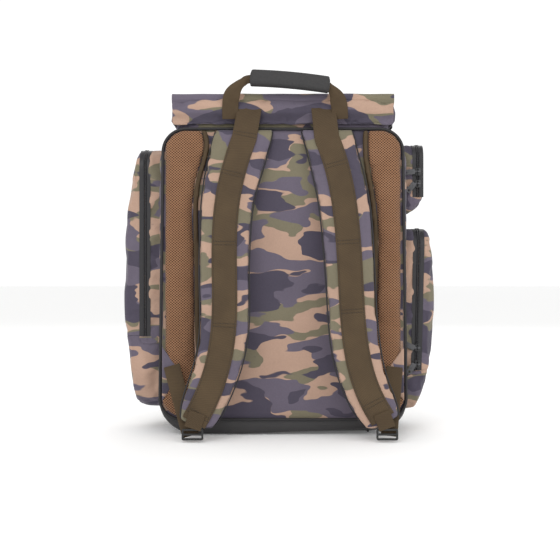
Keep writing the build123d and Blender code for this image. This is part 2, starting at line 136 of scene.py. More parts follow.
# ---- Printed cloth ----
# The bag's outer cloth is 600-denier polyester Oxford, woven, dyed with a four-colour woodland
# print and coated behind. It is matt, with a fine square weave, and its print has crisp edges.
def woodland_cloth():
    cloth, tree = blank_material("printed_oxford_polyester")
    here = add_node(tree, "TexCoord")
    shift = add_node(tree, "Attribute", attribute_name="print_shift")
    spot = add_node(tree, "VectorMath", operation="ADD",
                    links={0: (here, "Object"), 1: (shift, "Vector")})
    # The print's patches lie across the cloth: they are more than twice as wide as they are tall.
    wide = add_node(tree, "VectorMath", operation="MULTIPLY", links={0: (spot, 0)},
                    inputs={1: (1.0, 1.0, 2.3)})
    # Two drifts bend the patches: broad swings of 100 mm and fingers of 30 mm.
    moved = wide
    for scale, reach in ((10.0, 0.120), (30.0, 0.036)):
        drift = add_node(tree, "TexNoise", links={"Vector": (wide, 0)},
                         inputs={"Scale": scale, "Detail": 1.0})
        centred = add_node(tree, "VectorMath", operation="SUBTRACT", links={0: (drift, 1)},
                           inputs={1: (0.5, 0.5, 0.5)})
        bent = add_node(tree, "VectorMath", operation="SCALE", links={0: (centred, 0)},
                        inputs={"Scale": reach})
        moved = add_node(tree, "VectorMath", operation="ADD", links={0: (moved, 0), 1: (bent, 0)})
    ground = add_node(tree, "RGB")
    ground.outputs[0].default_value = tint("#a28675")
    colour, output = ground, 0
    inks = (("#6b6553", 3.1, 0.515), ("#5a5360", 7.7, 0.540), ("#423d4a", 12.9, 0.585))
    for ink, seed, level in inks:
        patch = add_node(tree, "TexNoise", noise_dimensions="4D", links={"Vector": (moved, 0)},
                         inputs={"Scale": 14.5, "Detail": 0.0, "W": seed})
        edge = add_node(tree, "MapRange", links={"Value": (patch, 0)},
                        inputs={"From Min": level - 0.006, "From Max": level + 0.006})
        colour = add_node(tree, "Mix", data_type="RGBA", links={0: (edge, 0), 6: (colour, output)},
                          inputs={7: tint(ink)})
        output = 2
    # Threads are 0.5 mm apart; they are drawn 1.3 mm apart so that they show.
    apart = add_node(tree, "SeparateXYZ", links={0: (here, "Object")})
    level_xy = add_node(tree, "Math", operation="ADD", links={0: (apart, 0), 1: (apart, 1)})
    waves = []
    for source in ((level_xy, 0), (apart, 2)):
        turned = add_node(tree, "Math", operation="MULTIPLY", links={0: source},
                          inputs={1: 2 * math.pi / (1.3 * MM)})
        waves.append((add_node(tree, "Math", operation="SINE", links={0: (turned, 0)}), 0))
    weave = add_node(tree, "Math", operation="MULTIPLY", links=dict(enumerate(waves)))
    grain = add_node(tree, "TexNoise", links={"Vector": (spot, 0)},
                     inputs={"Scale": 420.0, "Detail": 2.0})
    wear = add_node(tree, "TexNoise", links={"Vector": (spot, 0)},
                    inputs={"Scale": 22.0, "Detail": 3.0})
    fade = add_node(tree, "Math", operation="MULTIPLY_ADD", links={0: (wear, 0)},
                    inputs={1: 0.26, 2: 0.86})
    threads = add_node(tree, "Math", operation="MULTIPLY_ADD", links={0: (grain, 0), 2: (fade, 0)},
                       inputs={1: 0.20})
    worn = add_node(tree, "VectorMath", operation="SCALE",
                    links={0: (colour, 2), "Scale": (threads, 0)})
    height = add_node(tree, "Math", operation="ADD", links={0: (weave, 0), 1: (grain, 0)})
    relief = add_node(tree, "Bump", links={"Height": (height, 0)},
                      inputs={"Strength": 0.25, "Distance": 0.35 * MM})
    surface = add_node(tree, "BsdfPrincipled",
                       links={"Base Color": (worn, 0), "Normal": (relief, 0)},
                       inputs={"Roughness": 0.82, "Sheen Weight": 0.12, "Sheen Roughness": 0.5,
                               "Specular IOR Level": 0.3})
    add_node(tree, "OutputMaterial", links={"Surface": (surface, 0)})
    return cloth


def mottled(name, grain, detail, dark, light, relief=None, **finish):
    """A plain finish that drifts between two tones; relief is its grain's strength and depth."""
    material, tree = blank_material(name)
    here = add_node(tree, "TexCoord")
    drift = add_node(tree, "TexNoise", links={"Vector": (here, "Object")},
                     inputs={"Scale": grain, "Detail": detail})
    tone = add_node(tree, "Mix", data_type="RGBA", links={0: (drift, 0)},
                    inputs={6: tint(dark), 7: tint(light)})
    links = {"Base Color": (tone, 2)}
    if relief:
        bump = add_node(tree, "Bump", links={"Height": (drift, 0)},
                        inputs={"Strength": relief[0], "Distance": relief[1]})
        links["Normal"] = (bump, 0)
    surface = add_node(tree, "BsdfPrincipled", links=links,
                       inputs={key.replace("_", " "): value for key, value in finish.items()})
    add_node(tree, "OutputMaterial", links={"Surface": (surface, 0)})
    return material


woodland = woodland_cloth()
# The cloth's coated back is the inside of the bag: dark grey, crushed and faintly shiny.
lining = mottled("coated_lining", 45.0, 4.0, "#2b2b2d", "#3b3b3c", (0.3, 1.0 * MM), Roughness=0.55)


# ---- Body ----
# A box of foam-backed cloth on a dropped base of coated tarpaulin. The side cloth runs over the
# shoulders, and the back and front panels are sewn to it in the piping.
HALF_W, HALF_D, BODY_TOP = 188 * MM, 100 * MM, 476 * MM
CORNER, FOOT_CORNER, PANEL_CORNER = 36 * MM, 60 * MM, 38 * MM
TRAY_TOP = 50 * MM
GROUND_GAP = 0.3 * MM


def only(piece):
    """Selects one piece and nothing else."""
    bpy.ops.object.select_all(action="DESELECT")
    piece.select_set(True)
    bpy.context.view_layer.objects.active = piece


def modified(piece, kind, **settings):
    """Adds a modifier and applies it."""
    only(piece)
    modifier = piece.modifiers.new(kind, kind)
    for name, value in settings.items():
        setattr(modifier, name, value)
    bpy.ops.object.modifier_apply(modifier=modifier.name)


def edit(piece, wanted=None, domain="VERT"):
    """Opens a piece for editing, all selected, or only the edges or faces that are wanted."""
    only(piece)
    bpy.ops.object.mode_set(mode="EDIT")
    bpy.ops.mesh.select_mode(type=domain)
    bpy.ops.mesh.select_all(action="DESELECT" if wanted else "SELECT")
    if wanted:
        mesh = bmesh.from_edit_mesh(piece.data)
        if domain == "EDGE":
            for edge in mesh.edges:
                start, end = (corner.co for corner in edge.verts)
                edge.select = wanted((start + end) / 2, end - start)
        else:
            for face in mesh.faces:
                face.select = wanted(face.calc_center_median(), face.normal)
        mesh.select_flush_mode()
        bmesh.update_edit_mesh(piece.data)


def close_edit():
    bpy.ops.object.mode_set(mode="OBJECT")


def rounded(piece, wanted, radius, segments):
    """Rounds over the edges whose middle and run are wanted."""
    edit(piece, wanted, "EDGE")
    bpy.ops.mesh.bevel(offset=radius, segments=segments, affect="EDGES")
    close_edit()


def remove_faces(piece, unwanted):
    edit(piece, unwanted, "FACE")
    bpy.ops.mesh.delete(type="FACE")
    close_edit()


def cut(piece, point, normal, keep="above"):
    """Cuts a piece on a plane and keeps the part on the normal's side, or the other, or both."""
    edit(piece)
    bpy.ops.mesh.bisect(plane_co=point, plane_no=normal, clear_inner=keep == "above",
                        clear_outer=keep == "below", threshold=1e-6)
    close_edit()


def block(name, low, high):
    """A box between two corners, as a start."""
    low, high = Vector(low), Vector(high)
    bpy.ops.object.select_all(action="DESELECT")
    bpy.ops.mesh.primitive_cube_add(size=1, location=(low + high) / 2, scale=high - low)
    bpy.ops.object.transform_apply(location=True, rotation=True, scale=True)
    made = bpy.context.object
    made.name = name
    return made


def duplicate(piece, name):
    made = piece.copy()
    made.data = piece.data.copy()
    made.name = name
    bpy.context.collection.objects.link(made)
    return made


def points_of(piece):
    flat = np.empty(len(piece.data.vertices) * 3)
    piece.data.vertices.foreach_get("co", flat)
    return flat.reshape(-1, 3)


def set_points(piece, points):
    piece.data.vertices.foreach_set("co", np.asarray(points).ravel())
    piece.data.update()


def puff(piece, held, most, pressure=4.0, slack=0.02, voxel=4.5 * MM):
    """Sews a piece down where held(point) says, fills it with air and keeps the shape it takes."""
    modified(piece, "REMESH", mode="VOXEL", voxel_size=voxel)
    start = points_of(piece)
    sewn = piece.vertex_groups.new(name="sewn")
    sewn.add([i for i, p in enumerate(start) if held(p)], 1.0, "REPLACE")
    only(piece)
    cloth = piece.modifiers.new("cloth", "CLOTH")
    cloth.settings.vertex_group_mass = "sewn"
    cloth.settings.use_pressure = True
    cloth.settings.uniform_pressure_force = pressure
    cloth.settings.shrink_min = -slack
    cloth.settings.quality = 5
    cloth.settings.effector_weights.gravity = 0
    cloth.collision_settings.use_collision = False
    cloth.point_cache.frame_end = 20
    for step in range(1, 21):
        bpy.context.scene.frame_set(step)
    shaped = piece.evaluated_get(bpy.context.evaluated_depsgraph_get())
    moved = points_of(shaped) - start
    reach = np.linalg.norm(moved, axis=1) + 1e-9
    cap = np.array([most(p) if callable(most) else most for p in start])
    # Near its cap a point slows down, so the crown stays round.
    eased = cap * np.tanh(reach / np.maximum(cap, 1e-6))
    piece.modifiers.remove(cloth)
    bpy.context.scene.frame_set(1)
    set_points(piece, start + moved * (eased / reach)[:, None])
    piece.vertex_groups.clear()
    modified(piece, "SUBSURF", levels=1, render_levels=1)


def clothed(piece, shift=(0, 0, 0), material=None, wall=0.0, inner=None):
    """Gives a piece its cloth, its wall inwards, smooth shading and its own place in the print."""
    piece.data.materials.clear()
    piece.data.materials.append(material or woodland)
    if inner:
        piece.data.materials.append(inner)
    if wall:
        modified(piece, "SOLIDIFY", thickness=wall, offset=-1, material_offset=1 if inner else 0)
    mark = piece.data.attributes.new("print_shift", "FLOAT_VECTOR", "POINT")
    mark.data.foreach_set("vector", np.tile(shift, len(piece.data.vertices)))
    only(piece)
    bpy.ops.object.shade_smooth_by_angle(angle=math.radians(50))


def slumped(points):
    """Where the full bag's weight spreads its foot: 9 mm wider each side at the ground."""
    points = np.array(points, dtype=float)
    low = np.clip((160 * MM - points[:, 2]) / (150 * MM), 0, 1)
    points[:, 0] += points[:, 0] / HALF_W * 9 * MM * low ** 1.6
    return points


def border_gap(x, z, half=HALF_W, low=0.0, high=BODY_TOP, corner=CORNER):
    """How far a point of the front view lies inside the rounded outline."""
    middle = (low + high) / 2
    across, up = abs(x) - (half - corner), abs(z - middle) - ((high - low) / 2 - corner)
    outside = math.hypot(max(across, 0), max(up, 0))
    return corner - outside - min(max(across, up), 0)


hull = block("hull", (-HALF_W, -HALF_D + MM, 0), (HALF_W, HALF_D - MM, BODY_TOP))
rounded(hull, lambda co, along: abs(along.normalized().y) > 0.9, CORNER, 7)
puff(hull, lambda p: abs(p[1]) > 93 * MM or p[2] < 3 * MM or abs(p[2] - TRAY_TOP) < 3 * MM
     or (p[2] > 470 * MM and abs(p[0]) < 172 * MM), 9 * MM, pressure=9, slack=0.04, voxel=8 * MM)
hull_points = points_of(hull)
# The base turns up into the piping, so its lower corners are much rounder than the shoulders.
up_corner = np.clip(hull_points[:, 2], 0, FOOT_CORNER)


def outline_half(corner):
    """The outline's half width over a lower corner of this radius, at each point's height."""
    left = np.clip(corner - up_corner, 0, None)
    return HALF_W - corner + np.sqrt(np.clip(corner ** 2 - left ** 2, 0, None))


kept_half = HALF_W - FOOT_CORNER
beyond = np.clip(np.abs(hull_points[:, 0]) - kept_half, 0, None)
pulled = beyond * (1 - (outline_half(FOOT_CORNER) - kept_half) / (outline_half(CORNER) - kept_half))
hull_points[:, 0] -= np.sign(hull_points[:, 0]) * pulled
set_points(hull, slumped(hull_points))

side_cloth = duplicate(hull, "side_cloth")
cut(side_cloth, (0, 0, TRAY_TOP), (0, 0, 1))
remove_faces(side_cloth, lambda co, n: abs(co.y) > 97.5 * MM and abs(n.y) > 0.8
             or co.z > 470 * MM and abs(co.x) < 163 * MM and abs(co.y) < 90 * MM)
clothed(side_cloth, (0.13, 0.05, 0.02), wall=3 * MM, inner=lining)
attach(side_cloth, "bag")
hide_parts("left_side_panel", "right_side_panel")

# Tarpaulin: nearly black, with soft broad painted sheens where it is crushed, and a fine pebbled
# grain.
tarpaulin, tarp_tree = blank_material("coated_tarpaulin")
tarp_here = add_node(tarp_tree, "TexCoord")
tarp_crush_and_sheen = add_node(tarp_tree, "TexNoise", links={"Vector": (tarp_here, "Object")},
                      inputs={"Scale": 30.0, "Detail": 5.0, "Roughness": 0.55})
tarp_grain = add_node(tarp_tree, "TexVoronoi", links={"Vector": (tarp_here, "Object")},
                      inputs={"Scale": 900.0})
# The crushed patches are painted lighter in the base colour as a painted sheen; the same noise also
# raises the crumpled relief.
tarp_tone = add_node(tarp_tree, "Mix", data_type="RGBA", links={0: (tarp_crush_and_sheen, 0)},
                     inputs={6: tint("#1f1e1f"), 7: tint("#343233")})
tarp_height = add_node(tarp_tree, "Math", operation="MULTIPLY_ADD", inputs={1: 0.15},
                       links={0: (tarp_grain, 0), 2: (tarp_crush_and_sheen, 0)})
tarp_relief = add_node(tarp_tree, "Bump", links={"Height": (tarp_height, 0)},
                       inputs={"Strength": 0.35, "Distance": 1.5 * MM})
tarp_skin = add_node(tarp_tree, "BsdfPrincipled", inputs={"Roughness": 0.48},
                     links={"Base Color": (tarp_tone, 2), "Normal": (tarp_relief, 0)})
add_node(tarp_tree, "OutputMaterial", links={"Surface": (tarp_skin, 0)})

tray = duplicate(hull, "base_tray_cloth")
cut(tray, (0, 0, TRAY_TOP), (0, 0, 1), keep="below")
# Its rear bottom edge is rounded over, more so towards the right, where less lies on it.
tray_points = points_of(tray)
rear = np.clip((-40 * MM - tray_points[:, 1]) / (60 * MM), 0, 1) ** 2
lower = np.clip((22 * MM - tray_points[:, 2]) / (22 * MM), 0, 1)
rightward = np.clip((tray_points[:, 0] + 60 * MM) / (190 * MM), 0, 1)
tray_points[:, 2] += rear * lower * (1 * MM + 10 * MM * rightward)
tray_points[:, 2] = np.maximum(tray_points[:, 2], GROUND_GAP)
set_points(tray, tray_points)
clothed(tray, material=tarpaulin, wall=3.5 * MM)
tray_points = points_of(tray)
tray_points[:, 2] = np.maximum(tray_points[:, 2], GROUND_GAP)
set_points(tray, tray_points)
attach(tray, "bag")
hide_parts("base_tray")
bpy.data.objects.remove(hull)


def body_panel(name, node, side, most, shift):
    """A foam-backed panel with a piped edge, crowned by its foam. side is -1 at the harness."""
    low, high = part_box(node)
    panel = block(name, low, high)
    rounded(panel, lambda co, along: abs(along.normalized().y) > 0.9, PANEL_CORNER, 7)
    modified(panel, "REMESH", mode="VOXEL", voxel_size=4.5 * MM)
    outer = side * HALF_D
    points = points_of(panel)
    for p in points:
        # The foam crowns within 40 mm of the seam; past that the cloth only ripples.
        inside = max(0.0, border_gap(p[0], p[2], low=22 * MM, corner=PANEL_CORNER) - 5 * MM)
        crown = most * (1 - math.exp(-inside / (22 * MM)))
        ripple = 1.3 * MM * noise.noise(Vector((p[0] * 14, side * 5.0, p[2] * 22)))
        ripple *= min(1.0, inside / (30 * MM))
        p[1] += side * (crown + ripple) * max(0.0, 1 - abs(p[1] - outer) / (4 * MM))
    set_points(panel, points)
    set_points(panel, slumped(points_of(panel)))
    clothed(panel, shift)
    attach(panel, "bag")
    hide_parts(node)


body_panel("back_panel_cloth", "back_panel", -1, 4 * MM, (0, 0, 0))
body_panel("front_panel_cloth", "front_panel", 1, 7 * MM, (0.31, 0, 0.14))

# The stiffener behind the back cloth keeps its shape. It is black sheet with a low, even shine.
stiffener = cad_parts["back_stiffener"].data
stiffener.materials.clear()
stiffener.materials.append(mottled("extruded_polyethylene_sheet", 60.0, 3.0, "#1b1b1c", "#262627",
                                   Roughness=0.4))


# ---- Collar and rear roll ----
# The main opening's rim is a short wall of the same cloth with a bound edge. A padded roll runs
# along its rear edge, under the lid's fold.
def grid(name, across, along, place, closed=False):
    """A sheet of cloth divided evenly and laid point by point: place(u, v) for u, v in 0 to 1."""
    bpy.ops.object.select_all(action="DESELECT")
    bpy.ops.mesh.primitive_grid_add(x_subdivisions=across, y_subdivisions=along, size=1)
    made = bpy.context.object
    made.name = name
    set_points(made, [place(u, v) for u, v, _ in points_of(made) + 0.5])
    if closed:
        edit(made)
        bpy.ops.mesh.remove_doubles(threshold=0.02 * MM)
        bpy.ops.mesh.normals_make_consistent(inside=False)
        close_edit()
    return made


def rounded_path(half_x, low_y, high_y, corner, turns=8):
    """Points round a rounded rectangle, evenly enough for a swept edge, as (across, up, nx, ny)."""
    points = []
    right, left, top, foot = half_x - corner, -half_x + corner, high_y - corner, low_y + corner
    for cx, cy, start in ((right, top, 0), (left, top, 90), (left, foot, 180), (right, foot, 270)):
        for i in range(turns + 1):
            angle = math.radians(start + 90 * i / turns)
            points.append((cx + corner * math.cos(angle), cy + corner * math.sin(angle),
                           math.cos(angle), math.sin(angle)))
    return points


def along_path(points, v, closed=True):
    """Point and normal at share v of a path's length."""
    loop = points + [points[0]] if closed else points
    places = np.array([p[:2] for p in loop])
    run = np.concatenate([[0], np.cumsum(np.linalg.norm(np.diff(places, axis=0), axis=1))])
    at = v * run[-1]
    return [float(np.interp(at, run, [p[i] for p in loop])) for i in range(4)]


collar_low, collar_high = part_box("top_collar")
collar_path = rounded_path(collar_high.x - MM, collar_low.y + MM, collar_high.y - MM, 12 * MM)


def collar_place(u, v):
    x, y, nx, ny = along_path(collar_path, v)
    gather = 1.2 * MM * noise.noise(Vector((x * 30, y * 30, u * 1.5)))
    foot = collar_low.z + 4 * MM
    return (x + nx * gather, y + ny * gather, foot + u * (collar_high.z - collar_low.z - 4 * MM))


collar = grid("collar_cloth", 10, 200, collar_place, closed=True)
clothed(collar, (0.2, 0.1, 0.3), wall=2.5 * MM, inner=lining)
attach(collar, "bag")
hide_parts("top_collar")

yoke_low, yoke_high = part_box("rear_yoke")
roll = block("rear_roll", (yoke_low.x, yoke_low.y, 480 * MM),
             (yoke_high.x, yoke_high.y, yoke_high.z + 2 * MM))
rounded(roll, lambda co, along: abs(along.normalized().x) > 0.9 and co.y < -100 * MM, 5 * MM, 4)
puff(roll, lambda p: p[1] > -97 * MM, 4.5 * MM, pressure=7, slack=0.04, voxel=4.2 * MM)
roll_points = points_of(roll)
# Its crown overhangs a tuck, where its lower edge is sewn down behind the piping.
rear_share = np.clip((-98 * MM - roll_points[:, 1]) / (6 * MM), 0, 1)
tuck_heights, tuck_depths = (478, 482, 486, 491, 498, 508, 518, 528), (0, 4, 7, 6, 0, -3, -2, 2)
roll_points[:, 1] += rear_share * np.interp(roll_points[:, 2] / MM, tuck_heights, tuck_depths) * MM
for p in roll_points:
    p[1] += 1.5 * MM * noise.noise(Vector((p[0] * 16, 4.0, p[2] * 40))) * float(p[1] < -99 * MM)
set_points(roll, roll_points)
clothed(roll, (0.05, 0, 0.21))
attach(roll, "bag")
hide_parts("rear_yoke")


# ---- Piping ----
# Black polyester binding folded over a cord, sewn into the edges of the panels and the lid.
def piece_of(name, mesh):
    """Turns a mesh that has been worked on into a piece."""
    data = bpy.data.meshes.new(name)
    mesh.to_mesh(data)
    mesh.free()
    made = bpy.data.objects.new(name, data)
    bpy.context.collection.objects.link(made)
    return made


def copy_of(name, node):
    """A CAD node's shape as a new piece, with its corners merged."""
    mesh = bmesh.new()
    mesh.from_mesh(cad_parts[node].data)
    bmesh.ops.remove_doubles(mesh, verts=mesh.verts, dist=0.01 * MM)
    return piece_of(name, mesh)


# Binding: near black and matt, with a fine woven grain.
piping_cloth = mottled("corded_binding", 700.0, 2.0, "#131213", "#282628", (0.4, 0.3 * MM),
                       Roughness=0.7)
panel_cord = copy_of("panel_edge_cord", "panel_pipings")
set_points(panel_cord, slumped(points_of(panel_cord)))
clothed(panel_cord, material=piping_cloth)
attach(panel_cord, "bag")
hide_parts("panel_pipings")


# ---- Back padding ----
# Two long pads of brown spacer mesh over foam, for air at the wearer's back. Olive tape binds
# their inner edges.
# Spacer mesh: warm brown and soft, with painted shade in its open cells.
air_mesh, air_tree = blank_material("knitted_spacer_mesh")
air_here = add_node(air_tree, "TexCoord")
air_axes = add_node(air_tree, "SeparateXYZ", links={0: (air_here, "Object")})
# Its holes are diamonds in staggered rows. They are 3 mm apart, drawn 4.6 mm apart across
# and 4 mm apart down so that they show.
waves = []
for axis, pitch in ((0, 4.6), (2, 4.0)):
    turned = add_node(air_tree, "Math", operation="MULTIPLY", links={0: (air_axes, axis)},
                      inputs={1: 2 * math.pi / (pitch * MM)})
    waves.append(add_node(air_tree, "Math", operation="COSINE", links={0: (turned, 0)}))
air_cells = add_node(air_tree, "Math", operation="MULTIPLY",
                     links={0: (waves[0], 0), 1: (waves[1], 0)})
air_hole_and_shade = add_node(air_tree, "MapRange", links={"Value": (air_cells, 0)},
                    inputs={"From Min": -0.05, "From Max": 0.45})
air_patch = add_node(air_tree, "TexNoise", links={"Vector": (air_here, "Object")},
                     inputs={"Scale": 25.0, "Detail": 3.0})
air_thread = add_node(air_tree, "Mix", data_type="RGBA", links={0: (air_patch, 0)},
                      inputs={6: tint("#815b40"), 7: tint("#9a7254")})
# The open cells are painted dark brown as painted shade in the holes; the same mask also sinks them
# in the relief.
air_tone = add_node(air_tree, "Mix", data_type="RGBA", inputs={7: tint("#2b1c13")},
                    links={0: (air_hole_and_shade, 0), 6: (air_thread, 2)})
air_relief = add_node(air_tree, "Bump", invert=True, links={"Height": (air_hole_and_shade, 0)},
                      inputs={"Strength": 0.6, "Distance": 1.0 * MM})
air_skin = add_node(air_tree, "BsdfPrincipled",
                    links={"Base Color": (air_tone, 2), "Normal": (air_relief, 0)},
                    inputs={"Roughness": 0.85, "Sheen Weight": 0.1, "Specular IOR Level": 0.25})
add_node(air_tree, "OutputMaterial", links={"Surface": (air_skin, 0)})

for side in ("left", "right"):
    mesh_pad = copy_of(f"{side}_air_pad", f"{side}_mesh_pad")
    # Its seams lie at the panel and at the binding, so only its face crowns.
    puff(mesh_pad, lambda p: p[1] > -104 * MM, 4 * MM, pressure=6, slack=0.02, voxel=4.6 * MM)
    set_points(mesh_pad, slumped(points_of(mesh_pad)))
    clothed(mesh_pad, material=air_mesh)
    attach(mesh_pad, "bag")
    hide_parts(f"{side}_mesh_pad")


# ---- Webbing ----
# Olive polypropylene webbing, 38 mm on the straps and 25 mm elsewhere, with fine ribs across it.
# Each piece carries its own lengths, so the ribs follow it round bends.
def webbing_cloth():
    """Dull olive with fine ribs, painted lighter on their crests and darker in their grooves as
    shade, and drifting wear. Its own map runs across and along it in metres.
    """
    cloth, tree = blank_material("ribbed_olive_webbing")
    run = add_node(tree, "UVMap", uv_map="lie")
    axes = add_node(tree, "SeparateXYZ", links={0: (run, 0)})
    # The yarns climb across the tape in a fine twill.
    slope = add_node(tree, "Math", operation="MULTIPLY_ADD", links={0: (axes, 0), 2: (axes, 1)},
                     inputs={1: 0.35})
    # Ribs are 1.2 mm apart; they are drawn 2.6 mm apart so that they show.
    phase = add_node(tree, "Math", operation="MULTIPLY", links={0: (slope, 0)},
                     inputs={1: 2 * math.pi / (2.6 * MM)})
    ribs = add_node(tree, "Math", operation="SINE", links={0: (phase, 0)})
    fuzz, worn = (add_node(tree, "TexNoise", links={"Vector": (run, 0)},
                           inputs={"Scale": scale, "Detail": detail})
                  for scale, detail in ((500.0, 2.0), (18.0, 3.0)))
    # The ribs are painted lighter on their crests and darker in their grooves as painted shade,
    # over drifting patches of wear.
    rib_shade_and_wear = add_node(tree, "Math", operation="MULTIPLY_ADD", links={0: (ribs, 0), 2: (worn, 0)},
                     inputs={1: 0.12})
    tone = add_node(tree, "Mix", data_type="RGBA", links={0: (rib_shade_and_wear, 0)},
                    inputs={6: tint("#392d1f"), 7: tint("#564631")})
    height = add_node(tree, "Math", operation="ADD", links={0: (ribs, 0), 1: (fuzz, 0)})
    relief = add_node(tree, "Bump", links={"Height": (height, 0)},
                      inputs={"Strength": 0.35, "Distance": 0.35 * MM})
    surface = add_node(tree, "BsdfPrincipled",
                       links={"Base Color": (tone, 2), "Normal": (relief, 0)},
                       inputs={"Roughness": 0.8, "Specular IOR Level": 0.3})
    add_node(tree, "OutputMaterial", links={"Surface": (surface, 0)})
    return cloth


webbing = webbing_cloth()
WIDE_WEB, NARROW_WEB = 38 * MM, 25 * MM


def lay_map(piece, width, length):
    """Turns a grid's map into metres across and along it."""
    lie = piece.data.uv_layers.active
    lie.name = "lie"
    flat = np.empty(len(lie.data) * 2)
    lie.data.foreach_get("uv", flat)
    lie.data.foreach_set("uv", (flat.reshape(-1, 2) * (width, length)).ravel())


def face_out(piece, outward, face=None):
    """Turns a sheet over if its middle face, or the one given, looks away from outward."""
    faces = piece.data.polygons
    if faces[len(faces) // 2 if face is None else face].normal.dot(Vector(outward)) < 0:
        piece.data.flip_normals()


def band(name, width, length, place, thick=1.8 * MM, across=8, along=80, outward=(0, -1, 0)):
    """A length of webbing laid point by point: place(s, t) with s from -1 to 1 across it."""
    made = grid(name, across, along, lambda u, v: place(2 * u - 1, v))
    lay_map(made, width, length)
    face_out(made, outward)
    modified(made, "SOLIDIFY", thickness=thick, offset=0)
    modified(made, "BEVEL", width=0.5 * MM, segments=2, limit_method="ANGLE",
             angle_limit=math.radians(60))
    clothed(made, material=webbing)
    return made


def soft_copy(name, node, voxel, factor, passes):
    """A small sewn piece at its CAD shape, with its edges worn soft."""
    made = copy_of(name, node)
    modified(made, "REMESH", mode="VOXEL", voxel_size=voxel)
    modified(made, "SMOOTH", factor=factor, iterations=passes)
    return made


bindings = soft_copy("mesh_edge_tape", "mesh_bindings", 2.5 * MM, 0.6, 6)
tape_lie = bindings.data.uv_layers.new(name="lie")
tape_points = points_of(bindings)
corner_ids = np.empty(len(bindings.data.loops), dtype=int)
bindings.data.loops.foreach_get("vertex_index", corner_ids)
tape_lie.data.foreach_set("uv", tape_points[corner_ids][:, [0, 2]].ravel())
clothed(bindings, material=webbing)
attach(bindings, "bag")
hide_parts("mesh_bindings")


# ---- Shoulder straps ----
# Curved pads of foam in printed cloth. 38 mm webbing is stitched down the middle of each and runs
# up over the piping to the lid's seam.
def levels(node, count=60):
    """Cuts a CAD node level by level and lists (z, middle x, half width, rear y, front y)."""
    low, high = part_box(node)
    rows = []
    for i in range(count):
        z = low.z + 0.5 * MM + (high.z - low.z - MM) * i / (count - 1)
        mesh = bmesh.new()
        mesh.from_mesh(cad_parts[node].data)
        found = bmesh.ops.bisect_plane(mesh, geom=mesh.verts[:] + mesh.edges[:] + mesh.faces[:],
                                       plane_co=(0, 0, z), plane_no=(0, 0, 1))["geom_cut"]
        xs = [v.co.x for v in found if isinstance(v, bmesh.types.BMVert)]
        ys = [v.co.y for v in found if isinstance(v, bmesh.types.BMVert)]
        mesh.free()
        if xs:
            rows.append((z, (min(xs) + max(xs)) / 2, (max(xs) - min(xs)) / 2, min(ys), max(ys)))
    return np.array(rows)


def surface_of(data):
    return BVHTree.FromPolygons([v.co for v in data.vertices], [p.vertices for p in data.polygons])


# Thread: brown-black and dull, a shade darker than the webbing under it.
thread = mottled("polyester_thread", 1500.0, 1.0, "#2a2118", "#3d3122", Roughness=0.7)
STITCH_LIFT = 1.1 * MM
# Heights where a strap is sewn into the lid's seam, and from which its webbing stands upright.
STRAP_SEAM, UPRIGHT_FROM = 462 * MM, 458 * MM


def stitches(name, rows, body, gap=3.6 * MM, length=2.6 * MM, radius=0.6 * MM):
    """Sewn rows: each row is a list of points with the cloth's normal, and gets short stitches."""
    mesh = bmesh.new()
    for row in rows:
        places = [Vector(p) for p, _ in row]
        run = [0.0]
        for before, after in zip(places, places[1:]):
            run.append(run[-1] + (after - before).length)
        at = gap / 2
        while at < run[-1]:
            i = max(k for k in range(len(run) - 1) if run[k] <= at)
            part = (at - run[i]) / max(run[i + 1] - run[i], 1e-9)
            centre = places[i].lerp(places[i + 1], part)
            along = (places[i + 1] - places[i]).normalized()
            out = Vector(row[i][1]).normalized()
            across = along.cross(out).normalized()
            ring = []
            for end, swell in ((-0.5, 0.3), (-0.25, 1.0), (0.25, 1.0), (0.5, 0.3)):
                middle = centre + along * end * length
                turns = [across * math.cos(a) + out * math.sin(a)
                         for a in (k * math.pi / 3 for k in range(6))]
                ring.append([mesh.verts.new(middle + turn * radius * swell) for turn in turns])
            for one, other in zip(ring, ring[1:]):
                for k in range(6):
                    mesh.faces.new((one[k], one[(k + 1) % 6], other[(k + 1) % 6], other[k]))
            mesh.faces.new(reversed(ring[0]))
            mesh.faces.new(ring[-1])
            at += gap
    bmesh.ops.recalc_face_normals(mesh, faces=mesh.faces)
    made = piece_of(name, mesh)
    clothed(made, material=thread)
    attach(made, body)
    return made


